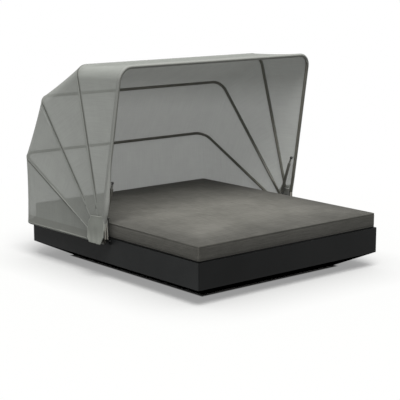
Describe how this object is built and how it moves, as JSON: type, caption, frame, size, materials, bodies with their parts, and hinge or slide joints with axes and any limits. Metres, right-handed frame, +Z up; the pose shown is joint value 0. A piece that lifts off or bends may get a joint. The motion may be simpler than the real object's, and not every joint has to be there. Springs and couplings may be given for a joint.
{
  "type": "outdoor daybed with canopy",
  "caption": "Wide outdoor daybed: a low tapered base with a thick mattress and a fan-shaped cloth canopy on hoops that folds back over one end.",
  "frame": {"origin": "on the floor under the middle of the base, at the sole of the centre glide", "axes": "+X to the right seen from the open side, -Y towards the open side where people lie down, +Y towards the canopy back, +Z up"},
  "size_m": [1.9138, 2.0596, 1.5579],
  "materials": {
    "base_shell": "matt black moulded polyethylene with a fine grain",
    "deck": "dark grey sealed board",
    "rubber": "matt black rubber",
    "black_steel": "satin black powder coat",
    "bracket_plate": "satin stainless sheet",
    "zinc_steel": "satin zinc-plated steel",
    "hoop_paint": "satin grey-bronze powder coat on aluminium tube",
    "mattress_cloth": "woven taupe-grey outdoor cloth",
    "canopy_mesh": "light grey coated mesh cloth, a little see-through"
  },
  "bodies": {
    "base": {"base_shell": "base_shell", "bracket_screw_left_1": "black_steel", "bracket_screw_left_2": "black_steel", "bracket_screw_right_1": "black_steel", "bracket_screw_right_2": "black_steel", "deck_board": "deck", "deck_rib_1": "deck", "deck_rib_2": "deck", "deck_rib_3": "deck", "deck_rib_4": "deck", "glide_back_centre": "rubber", "glide_back_left": "rubber", "glide_back_right": "rubber", "glide_front_centre": "rubber", "glide_front_left": "rubber", "glide_front_right": "rubber", "glide_middle_centre": "rubber", "glide_middle_left": "rubber", "glide_middle_right": "rubber", "hem_hoop": "hoop_paint", "hinge_bracket_left": "bracket_plate", "hinge_bracket_right": "bracket_plate", "pivot_flap_left": "canopy_mesh", "pivot_flap_right": "canopy_mesh", "pivot_nut_left": "zinc_steel", "pivot_nut_right": "zinc_steel", "pivot_pin_left": "zinc_steel", "pivot_pin_right": "zinc_steel", "pivot_washer_left_1": "rubber", "pivot_washer_left_2": "rubber", "pivot_washer_left_3": "rubber", "pivot_washer_left_4": "rubber", "pivot_washer_left_5": "rubber", "pivot_washer_right_1": "rubber", "pivot_washer_right_2": "rubber", "pivot_washer_right_3": "rubber", "pivot_washer_right_4": "rubber", "pivot_washer_right_5": "rubber", "stay_foot_stud_left": "zinc_steel", "stay_foot_stud_right": "zinc_steel"},
    "mattress": {"mattress": "mattress_cloth"},
    "hoop_4": {"hoop_4": "hoop_paint", "canopy_back": "canopy_mesh"},
    "hoop_3": {"hoop_3": "hoop_paint", "canopy_bay_3": "canopy_mesh"},
    "hoop_2": {"hoop_2": "hoop_paint", "canopy_bay_2": "canopy_mesh"},
    "hoop_1": {"hoop_1": "hoop_paint", "canopy_bay_1": "canopy_mesh", "stay_head_stud_left": "zinc_steel", "stay_head_stud_right": "zinc_steel"},
    "stay_cylinder_right": {"stay_cylinder_right": "hoop_paint"},
    "stay_cylinder_left": {"stay_cylinder_left": "hoop_paint"},
    "stay_rod_right": {"stay_rod_right": "zinc_steel"},
    "stay_rod_left": {"stay_rod_left": "zinc_steel"}
  },
  "joints": [
    {"name": "mattress_lift", "type": "slide", "parent": "base", "child": "mattress", "axis": [0, 0, 1], "range_m": [0, 0.15]},
    {"name": "canopy_fold", "type": "hinge", "parent": "base", "child": "hoop_4", "pos_m": [0, 0.005, 0.285], "axis": [-1, 0, 0], "range_deg": [0, 19.83], "deforming": ["canopy_back"]},
    {"name": "hoop_3_fold", "type": "hinge", "parent": "hoop_4", "child": "hoop_3", "pos_m": [0, 0.005, 0.285], "axis": [-1, 0, 0], "range_deg": [0, 18.02], "deforming": ["canopy_bay_3"]},
    {"name": "hoop_2_fold", "type": "hinge", "parent": "hoop_3", "child": "hoop_2", "pos_m": [0, 0.005, 0.285], "axis": [-1, 0, 0], "range_deg": [0, 19.44], "deforming": ["canopy_bay_2"]},
    {"name": "hoop_1_fold", "type": "hinge", "parent": "hoop_2", "child": "hoop_1", "pos_m": [0, 0.005, 0.285], "axis": [-1, 0, 0], "range_deg": [0, 16.1], "deforming": ["canopy_bay_1"]},
    {"name": "stay_right_turn", "type": "hinge", "parent": "base", "child": "stay_cylinder_right", "pos_m": [0.88, 0.031, 0.434], "axis": [-1, 0, 0], "range_deg": [0, 102.37]},
    {"name": "stay_right_slide", "type": "slide", "parent": "stay_cylinder_right", "child": "stay_rod_right", "axis": [0, -0.3247, 0.9458], "range_m": [0, 0.071]},
    {"name": "stay_left_turn", "type": "hinge", "parent": "base", "child": "stay_cylinder_left", "pos_m": [-0.88, 0.031, 0.434], "axis": [-1, 0, 0], "range_deg": [0, 102.37]},
    {"name": "stay_left_slide", "type": "slide", "parent": "stay_cylinder_left", "child": "stay_rod_left", "axis": [0, -0.3247, 0.9458], "range_m": [0, 0.071]}
  ],
  "couplings": [
    {"joint": "hoop_3_fold", "follows": "canopy_fold", "ratio": 0.90822},
    {"joint": "hoop_2_fold", "follows": "canopy_fold", "ratio": 0.97983},
    {"joint": "hoop_1_fold", "follows": "canopy_fold", "ratio": 0.8114},
    {"joint": "stay_right_turn", "follows": "canopy_fold", "ratio": 5.1616},
    {"joint": "stay_right_slide", "follows": "canopy_fold", "m_per_rad": 0.2049},
    {"joint": "stay_left_turn", "follows": "canopy_fold", "ratio": 5.1616},
    {"joint": "stay_left_slide", "follows": "canopy_fold", "m_per_rad": 0.2049}
  ]
}
